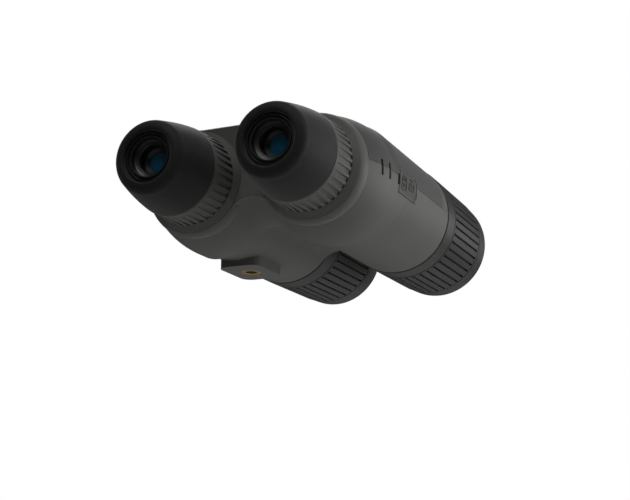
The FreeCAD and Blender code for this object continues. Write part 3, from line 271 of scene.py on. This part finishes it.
def metalFinish(name, look):
    material, tree, shader = startMaterial(name)
    where = addNode(tree, "TexCoord").outputs["Object"]
    turned = noise(tree, where, look["markSize"], 3.0, 0.6, look["stretch"])
    cloudy = noise(tree, where, look["cloudSize"], 4.0, 0.6)
    rounded, edges = edgeMask(tree, look["edgeRadius"])
    base = blendColours(tree, spread(tree, cloudy, 0.3, 0.7), colour(look["dark"]), colour(look["light"]))
    base = blendColours(tree, calculate(tree, "MULTIPLY", edges, look["edgeLight"]), base,
                        colour(look["edgeColour"]))
    shine = spread(tree, turned, 0.3, 0.7, look["roughness"] - look["glossier"],
                   look["roughness"] + look["duller"])
    bump = addNode(tree, "Bump", {"Height": turned, "Normal": rounded, "Strength": look["markStrength"],
                                  "Distance": look["markDepth"]})
    feed(tree, shader, {"Base Color": base, "Roughness": shine, "Normal": bump.outputs[0],
                        "Metallic": look["metallic"]})
    return material


metalLook = {
    "dark": (0.42, 0.42, 0.43), "light": (0.55, 0.55, 0.55), "edgeColour": (0.75, 0.75, 0.75),
    "edgeLight": 0.4, "edgeRadius": 0.0002, "markSize": 0.0004, "stretch": (0.05, 1.0, 0.05),
    "markStrength": 0.3, "markDepth": 0.00004, "cloudSize": 0.008, "roughness": 0.34, "glossier": 0.07,
    "duller": 0.08, "metallic": 1.0,
}
finishes["steel"] = metalFinish("plainSteel", metalLook)
finishes["alloy"] = metalFinish("machinedAlloy", {
    **metalLook, "dark": (0.58, 0.59, 0.6), "light": (0.7, 0.7, 0.71), "roughness": 0.4})
finishes["brass"] = metalFinish("turnedBrass", {
    **metalLook, "dark": (0.52, 0.36, 0.14), "light": (0.66, 0.48, 0.2), "edgeColour": (0.85, 0.66, 0.32),
    "stretch": (0.05, 0.05, 1.0), "roughness": 0.32})
finishes["tube_black"] = metalFinish("blackAnodised", {
    **metalLook, "dark": (0.013, 0.013, 0.0125), "light": (0.019, 0.019, 0.0185),
    "edgeColour": (0.05, 0.05, 0.048), "roughness": 0.48, "metallic": 0.25, "markStrength": 0.2})
print("metal finishes made")


# coated glass: clear body, tinted coating, faint smears and dust
glassDirt = {"smearSize": 0.005, "smearStretch": (1.0, 1.0, 0.35), "smears": (0.45, 0.8),
             "roughness": (0.02, 0.09), "speckSize": 0.0007, "specks": (0.74, 0.78), "speckStrength": 0.2,
             "speckColour": (0.3, 0.3, 0.3)}


def glassFinish(name, look):
    material, tree, shader = startMaterial(name)
    where = addNode(tree, "TexCoord").outputs["Object"]
    smears = noise(tree, where, glassDirt["smearSize"], 5.0, 0.7, glassDirt["smearStretch"])
    specks = spread(tree, noise(tree, where, glassDirt["speckSize"], 1.0, 0.4), *glassDirt["specks"])
    base = blendColours(tree, spread(tree, smears, 0.3, 0.7), colour(look["deep"]), colour(look["pale"]))
    dirt = calculate(tree, "MULTIPLY", specks, glassDirt["speckStrength"])
    base = blendColours(tree, dirt, base, colour(glassDirt["speckColour"]))
    shine = calculate(tree, "ADD", spread(tree, smears, *glassDirt["smears"], *glassDirt["roughness"]),
                      calculate(tree, "MULTIPLY", specks, glassDirt["speckStrength"]))
    feed(tree, shader, {"Base Color": base, "Roughness": shine, "Transmission Weight": look["clear"],
                        "IOR": look["ior"], "Coat Weight": look["coat"], "Coat Roughness": 0.03,
                        "Coat Tint": colour(look["coatTint"]), "Specular Tint": colour(look["coatTint"])})
    return material


# the eyepiece glass is nearly opaque, and its blue base colour is a painted reflection of the coating
finishes["eye_glass"] = glassFinish("blueCoatedGlass", {
    "deep": (0.02, 0.14, 0.25), "pale": (0.025, 0.165, 0.29), "clear": 0.12, "ior": 1.45, "coat": 0.12,
    "coatTint": (0.25, 0.55, 1.0)})
finishes["objective_glass"] = glassFinish("violetCoatedGlass", {
    "deep": (0.55, 0.62, 0.6), "pale": (0.65, 0.72, 0.7), "clear": 0.92, "ior": 1.52, "coat": 0.5,
    "coatTint": (0.55, 0.4, 0.9)})
print("glass finishes made")


# printed boards: solder mask, copper tracks under it, bare pads

def boardFinish():
    look = {"mask": (0.006, 0.055, 0.022), "track": (0.012, 0.11, 0.045), "pad": (0.75, 0.6, 0.3),
            "trackPitch": 0.0016, "trackGap": 0.16, "trackRun": 5, "padPitch": 0.0032, "pads": (0.16, 0.13),
            "trackHeight": 0.00005, "roughness": (0.22, 0.36)}
    material, tree, shader = startMaterial("solderMask")
    where = addNode(tree, "TexCoord").outputs["Object"]
    pitch = look["trackPitch"]
    bricks = addNode(tree, "TexBrick", {
        "Vector": where, "Scale": 1.0, "Mortar Size": pitch * look["trackGap"], "Mortar Smooth": 0.1,
        "Brick Width": pitch * look["trackRun"], "Row Height": pitch})
    cells = addNode(tree, "TexVoronoi", {"Vector": where, "Scale": 1.0 / look["padPitch"]},
                    distance="CHEBYCHEV")
    pads = spread(tree, cells.outputs["Distance"], *look["pads"])
    base = blendColours(tree, bricks.outputs["Fac"], colour(look["mask"]), colour(look["track"]))
    base = blendColours(tree, pads, base, colour(look["pad"]))
    bump = addNode(tree, "Bump", {"Height": bricks.outputs["Fac"], "Strength": 0.4,
                                  "Distance": look["trackHeight"]})
    shine = spread(tree, noise(tree, where, 0.004), 0.3, 0.7, *look["roughness"])
    feed(tree, shader, {"Base Color": base, "Roughness": shine, "Metallic": pads, "Normal": bump.outputs[0]})
    return material


finishes["board"] = boardFinish()


# battery sleeve: shrunk film with two plain bands across it

def sleeveFinish():
    look = {"film": (0.02, 0.07, 0.26), "filmPale": (0.03, 0.09, 0.32), "band": (0.55, 0.55, 0.55),
            "bandPitch": 0.025, "bandWidth": 0.003, "wrinkleSize": 0.003, "wrinkleDepth": 0.0001,
            "roughness": (0.2, 0.34)}
    material, tree, shader = startMaterial("batterySleeve")
    where = addNode(tree, "TexCoord").outputs["Object"]
    along = addNode(tree, "SeparateXYZ", {"Vector": where}).outputs["Y"]
    wrapped = calculate(tree, "PINGPONG", along, look["bandPitch"])
    bands = calculate(tree, "LESS_THAN", wrapped, look["bandWidth"])
    wrinkles = noise(tree, where, look["wrinkleSize"], 5.0, 0.6, (1.0, 0.3, 1.0))
    base = blendColours(tree, spread(tree, wrinkles, 0.3, 0.7), colour(look["film"]),
                        colour(look["filmPale"]))
    base = blendColours(tree, bands, base, colour(look["band"]))
    bump = addNode(tree, "Bump", {"Height": wrinkles, "Strength": 0.3, "Distance": look["wrinkleDepth"]})
    shine = spread(tree, wrinkles, 0.3, 0.7, *look["roughness"])
    feed(tree, shader, {"Base Color": base, "Roughness": shine, "Normal": bump.outputs[0],
                        "Coat Weight": 0.4, "Coat Roughness": 0.1})
    return material


finishes["battery_sleeve"] = sleeveFinish()


# the little screens inside the eyepieces, and the lamp's clear dome

def screenFinish():
    look = {"off": (0.004, 0.006, 0.012), "cell": (0.012, 0.02, 0.035), "pitch": 0.0004,
            "grid": (0.3, 0.45), "roughness": (0.06, 0.14)}
    material, tree, shader = startMaterial("displayGlass")
    where = addNode(tree, "TexCoord").outputs["Object"]
    grid = addNode(tree, "TexVoronoi", {"Vector": where, "Scale": 1.0 / look["pitch"], "Randomness": 0.0},
                   distance="CHEBYCHEV")
    base = blendColours(tree, spread(tree, grid.outputs["Distance"], *look["grid"]), colour(look["cell"]),
                        colour(look["off"]))
    shine = spread(tree, noise(tree, where, 0.004), 0.3, 0.7, *look["roughness"])
    feed(tree, shader, {"Base Color": base, "Roughness": shine, "Coat Weight": 0.5, "Coat Roughness": 0.04})
    return material


def lampFinish():
    look = {"resin": (0.16, 0.10, 0.11), "resinPale": (0.24, 0.16, 0.17), "clear": 0.5,
            "swirlSize": 0.0025, "roughness": (0.08, 0.2)}
    material, tree, shader = startMaterial("lampResin")
    where = addNode(tree, "TexCoord").outputs["Object"]
    swirl = noise(tree, where, look["swirlSize"], 4.0, 0.6)
    base = blendColours(tree, spread(tree, swirl, 0.3, 0.7), colour(look["resin"]), colour(look["resinPale"]))
    shine = spread(tree, swirl, 0.3, 0.7, *look["roughness"])
    feed(tree, shader, {"Base Color": base, "Roughness": shine, "Transmission Weight": look["clear"],
                        "IOR": 1.5})
    return material


finishes["display"] = screenFinish()
finishes["lamp"] = lampFinish()
print("electronics finishes made")


# every frame piece takes the finish of its own slot
for part in frame["record"]["subparts"]:
    mesh = nodes[part["node"]].data
    mesh.materials.clear()
    mesh.materials.append(finishes[part["material_slot"]])
print("frame pieces finished")


# raised line symbols: a ribbon along a path, lifted off a surface, in millimetres
ribbonLook = {"step": 0.4, "crown": 0.72, "root": -0.05, "sharpest": 0.5}


def ribbonMesh(bm, path, width, height, closed, onSurface):
    # onSurface turns (across, along, lift) into a place
    corners = list(path) + ([path[0]] if closed else [])
    dense = []
    for (x0, y0), (x1, y1) in zip(corners, corners[1:]):
        count = max(1, int(math.hypot(x1 - x0, y1 - y0) / ribbonLook["step"]))
        for number in range(count):
            dense.append((x0 + (x1 - x0) * number / count, y0 + (y1 - y0) * number / count))
    if not closed:
        dense.append(corners[-1])
    total = len(dense)
    rows = []
    for number, (x, y) in enumerate(dense):
        before = dense[number - 1] if number or closed else dense[0]
        after = dense[(number + 1) % total] if number < total - 1 or closed else dense[-1]
        first = Vector((x - before[0], y - before[1]))
        second = Vector((after[0] - x, after[1] - y))
        first = first.normalized() if first.length else second.normalized()
        second = second.normalized() if second.length else first
        tangent = (first + second).normalized()
        reach = width / 2 / max(ribbonLook["sharpest"], tangent.dot(first))
        side = Vector((-tangent.y, tangent.x)) * reach
        slope = side * ribbonLook["crown"]
        root = ribbonLook["root"]
        rows.append([bm.verts.new(onSurface(x + a.x, y + a.y, lift)) for a, lift in
                     ((side, root), (slope, height), (-slope, height), (-side, root))])
    spans = total if closed else total - 1
    for number in range(spans):
        here, there = rows[number], rows[(number + 1) % total]
        for corner in range(3):
            bm.faces.new((here[corner], there[corner], there[corner + 1], here[corner + 1]))
        bm.faces.new((here[3], there[3], there[0], here[0]))
    if not closed:
        bm.faces.new(rows[0])
        bm.faces.new(rows[-1][::-1])


def symbolPiece(name, strokes, look, onSurface, body, material):
    mesh = bpy.data.meshes.new(name)
    bm = bmesh.new()
    for path, closed in strokes:
        ribbonMesh(bm, path, look["width"], look["height"], closed, onSurface)
    bmesh.ops.recalc_face_normals(bm, faces=bm.faces)
    bm.to_mesh(mesh)
    bm.free()
    piece = bpy.data.objects.new(name, mesh)
    bpy.context.scene.collection.objects.link(piece)
    mesh.materials.append(material)
    for face in mesh.polygons:
        face.use_smooth = False
    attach(piece, body)


def arcPath(x, y, radius, start, end, count=24):
    return [(x + radius * math.cos(math.radians(start + (end - start) * n / count)),
             y + radius * math.sin(math.radians(start + (end - start) * n / count)))
            for n in range(count + 1)]


# port door: a light rim that runs on over its fixed strip, with a card and a socket outline inside it
portMarks = {"width": 0.6, "height": 0.22, "cardFromMiddle": -4.6, "socketFromMiddle": 5.4}
portRim = {"width": 0.75, "height": 0.3, "inset": 0.5, "frontRound": 2.6, "rearRound": 1.0}
doorLow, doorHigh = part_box("port_cover")
stripLow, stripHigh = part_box("port_tether")
barrelX, barrelHeight = ringSunkShade["axisX"], ringSunkShade["axisZ"]
doorRadius = (doorHigh.x - barrelX) / mm
doorAngles = [math.asin((height - barrelHeight) / mm / doorRadius) for height in (doorLow.z, doorHigh.z)]
doorMiddle = (doorLow.y + doorHigh.y) / 2


def onDoor(along, up, lift):
    angle = (doorAngles[0] + doorAngles[1]) / 2 + up / doorRadius
    reach = doorRadius + lift
    return Vector((barrelX + reach * math.cos(angle) * mm, doorMiddle + along * mm,
                   barrelHeight + reach * math.sin(angle) * mm))


def cornerArc(x, y, radius, start):
    return arcPath(x, y, radius, start, start - 90, 6)


rimUp = (doorAngles[1] - doorAngles[0]) / 2 * doorRadius - portRim["inset"]
rimRear = (doorLow.y - doorMiddle) / mm + portRim["inset"]
rimFold = (doorHigh.y - doorMiddle) / mm
stripRear = (stripLow.y - doorMiddle) / mm
rimFront = (stripHigh.y - doorMiddle) / mm - portRim["inset"]
smallRound, largeRound = portRim["rearRound"], portRim["frontRound"]
doorRim = ([(rimFold, -rimUp)] + cornerArc(rimRear + smallRound, -rimUp + smallRound, smallRound, 270)
           + cornerArc(rimRear + smallRound, rimUp - smallRound, smallRound, 180) + [(rimFold, rimUp)])
stripRim = ([(stripRear, rimUp)] + cornerArc(rimFront - largeRound, rimUp - largeRound, largeRound, 90)
            + cornerArc(rimFront - largeRound, -rimUp + largeRound, largeRound, 0) + [(stripRear, -rimUp)])
symbolPiece("portDoorRim", [(doorRim, False)], portRim, onDoor, "port_door", rimFinish)
symbolPiece("portStripRim", [(stripRim, False)], portRim, onDoor, "housing", rimFinish)

# the two marks as corners (along the door, up it) from each mark's own middle
cardCorners = [(-3, -3.4), (3, -3.4), (3, 3.4), (-1, 3.4), (-3, 1.6)]
cardStrokes = [[(x, 0.9), (x, 2.2)] for x in (-0.9, 0.4, 1.7)] + [[(-1.6, y), (1.6, y)] for y in (-1.9, -0.8)]
socketCorners = [(-2.6, -1.7), (2.6, -1.7), (3.4, -0.9), (3.4, 0.9),
                 (2.6, 1.7), (-2.6, 1.7), (-3.4, 0.9), (-3.4, -0.9)]
socketStrokes = [[(-1.8, 0.0), (1.8, 0.0)]] + [[(x, 3.0), (x, 4.2)] for x in (-1.8, 0.0, 1.8)]


def shifted(corners, distance):
    return [(distance + x, y) for x, y in corners]


doorMarks = []
for corners, strokes, middle in ((cardCorners, cardStrokes, portMarks["cardFromMiddle"]),
                                 (socketCorners, socketStrokes, portMarks["socketFromMiddle"])):
    doorMarks.append((shifted(corners, middle), True))
    doorMarks.extend((shifted(stroke, middle), False) for stroke in strokes)
symbolPiece("portDoorMarks", doorMarks, portMarks, onDoor, "port_door", embossFinish)

# keys: an arrow, a ring or a power sign on each cap
keyMarks = {"width": 0.5, "height": 0.12, "arrow": 1.5, "ring": 2.3, "ringSweep": (0, 345), "power": 1.7,
            "powerSweep": (120, 420), "stemFoot": 0.4, "stemProud": 0.5}


def keySurface(node):
    low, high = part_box(node)
    middle = (low + high) / 2
    return lambda x, y, lift: Vector((middle.x + x * mm, middle.y + y * mm, high.z + lift * mm))


def arrowPath(turn):
    size = keyMarks["arrow"]
    points = [(-size, -size * 0.5), (0.0, size * 0.5), (size, -size * 0.5)]
    angle = math.radians(turn)
    return [(x * math.cos(angle) - y * math.sin(angle), x * math.sin(angle) + y * math.cos(angle))
            for x, y in points]


keySymbols = {
    "up": [(arrowPath(0), False)], "left": [(arrowPath(90), False)], "down": [(arrowPath(180), False)],
    "right": [(arrowPath(270), False)],
    "ok": [(arcPath(0, 0, keyMarks["ring"], *keyMarks["ringSweep"], 23), True)],
    "power": [(arcPath(0, 0, keyMarks["power"], *keyMarks["powerSweep"]), False),
              ([(0.0, keyMarks["stemFoot"]), (0.0, keyMarks["power"] + keyMarks["stemProud"])], False)],
}
for key, strokes in keySymbols.items():
    symbolPiece(key + "KeyMark", strokes, keyMarks, keySurface(key + "_button"), key + "_key",
                markingFinish)
print("raised marks made")


# floor, far below because the camera looks up at the binoculars from under them
floorLook = {"drop": 0.42, "half": 6.0, "colour": (0.8, 0.8, 0.79), "shade": (0.74, 0.74, 0.73),
             "patchSize": 0.6, "roughness": 0.8, "lift": 0.5}
floorMesh = bpy.data.meshes.new("floor")
half = floorLook["half"]
floorMesh.from_pydata([(-half, -half, 0), (half, -half, 0), (half, half, 0), (-half, half, 0)], [],
                      [(0, 1, 2, 3)])
floor = bpy.data.objects.new("floor", floorMesh)
bpy.context.scene.collection.objects.link(floor)
floor.location.z = -floorLook["drop"]
floorPaint, floorTree, floorShader = startMaterial("floorPaint")
floorWhere = addNode(floorTree, "TexCoord").outputs["Object"]
# the floor is lifted to a pale tone where it is looked at, without lighting the binoculars from below
looked = addNode(floorTree, "LightPath").outputs["Is Camera Ray"]
patches = spread(floorTree, noise(floorTree, floorWhere, floorLook["patchSize"]), 0.3, 0.7)
feed(floorTree, floorShader, {
    "Base Color": blendColours(floorTree, patches, colour(floorLook["shade"]), colour(floorLook["colour"])),
    "Roughness": floorLook["roughness"], "Emission Color": (1.0, 1.0, 1.0, 1.0),
    "Emission Strength": calculate(floorTree, "MULTIPLY", looked, floorLook["lift"])})
floorMesh.materials.append(floorPaint)


# camera: turned and set back from the middle of the barrels' front, in degrees and millimetres
cameraLook = {"azimuth": 24.012, "rise": 13.822, "roll": 0.124, "focal": 1236.04, "distance": 775.73,
              "across": 45.041, "above": -2.285, "imageWidth": 630.0, "near": 0.01, "far": 50.0}
azimuth = math.radians(cameraLook["azimuth"])
rise = math.radians(cameraLook["rise"])
roll = math.radians(cameraLook["roll"])
ahead = Vector((-math.sin(azimuth) * math.cos(rise), math.cos(azimuth) * math.cos(rise), math.sin(rise)))
level = Vector((math.cos(azimuth), math.sin(azimuth), 0.0))
upright = level.cross(ahead)
rightward = level * math.cos(roll) + upright * math.sin(roll)
upward = upright * math.cos(roll) - level * math.sin(roll)
frontMiddle = Vector((0.0, cadBox[1].y, barrelHeight))
cameraPlace = frontMiddle - (rightward * cameraLook["across"] + upward * cameraLook["above"]
                             + ahead * cameraLook["distance"]) * mm
cameraData = bpy.data.cameras.new("camera")
camera = bpy.data.objects.new("camera", cameraData)
bpy.context.scene.collection.objects.link(camera)
turn = Matrix((rightward, upward, -ahead)).transposed().to_4x4()
camera.matrix_world = Matrix.Translation(cameraPlace) @ turn
cameraData.lens = cameraLook["focal"] / cameraLook["imageWidth"] * cameraData.sensor_width
cameraData.clip_start = cameraLook["near"]
cameraData.clip_end = cameraLook["far"]
bpy.context.scene.camera = camera
print("camera placed")


# light: a white backdrop that hardly lights, and five soft boxes
lightLook = {
    "backdrop": (1.0, 1.0, 1.0), "surroundTint": (0.97, 0.98, 1.0), "surround": 0.012,
    "boxes": {
        "keyBox": {"place": (1.1, 0.9, 0.1), "size": 1.0, "power": 7.3},
        "sideBox": {"place": (1.3, 0.15, -0.05), "size": 1.1, "power": 2.9},
        "highBox": {"place": (1.0, 0.1, 0.9), "size": 1.0, "power": 3.4},
        "topBox": {"place": (0.1, -0.9, 1.2), "size": 1.0, "power": 8.2},
        "backBox": {"place": (-0.4, 0.95, 1.0), "size": 0.8, "power": 4.2},
    },
}
objectMiddle = (cadBox[0] + cadBox[1]) / 2
for name, box in lightLook["boxes"].items():
    lightData = bpy.data.lights.new(name, "AREA")
    lightData.shape = "DISK"
    lightData.size = box["size"]
    lightData.energy = box["power"]
    light = bpy.data.objects.new(name, lightData)
    bpy.context.scene.collection.objects.link(light)
    light.location = objectMiddle + Vector(box["place"])
    light.rotation_mode = "QUATERNION"
    light.rotation_quaternion = (objectMiddle - light.location).to_track_quat("-Z", "Y")

world = bpy.data.worlds.new("surround")
bpy.context.scene.world = world
world.use_nodes = True
worldTree = world.node_tree
backdrop = worldTree.nodes["Background"]
feed(worldTree, backdrop, {"Color": colour(lightLook["backdrop"]), "Strength": 1.0})
dimmed = addNode(worldTree, "Background", {"Color": colour(lightLook["surroundTint"]),
                                           "Strength": lightLook["surround"]})
seen = addNode(worldTree, "LightPath").outputs["Is Camera Ray"]
chosen = addNode(worldTree, "MixShader")
worldTree.links.new(seen, chosen.inputs[0])
worldTree.links.new(dimmed.outputs[0], chosen.inputs[1])
worldTree.links.new(backdrop.outputs[0], chosen.inputs[2])
worldTree.links.new(chosen.outputs[0], worldTree.nodes["World Output"].inputs[0])
bpy.context.scene.view_settings.view_transform = "Standard"
print("light set")
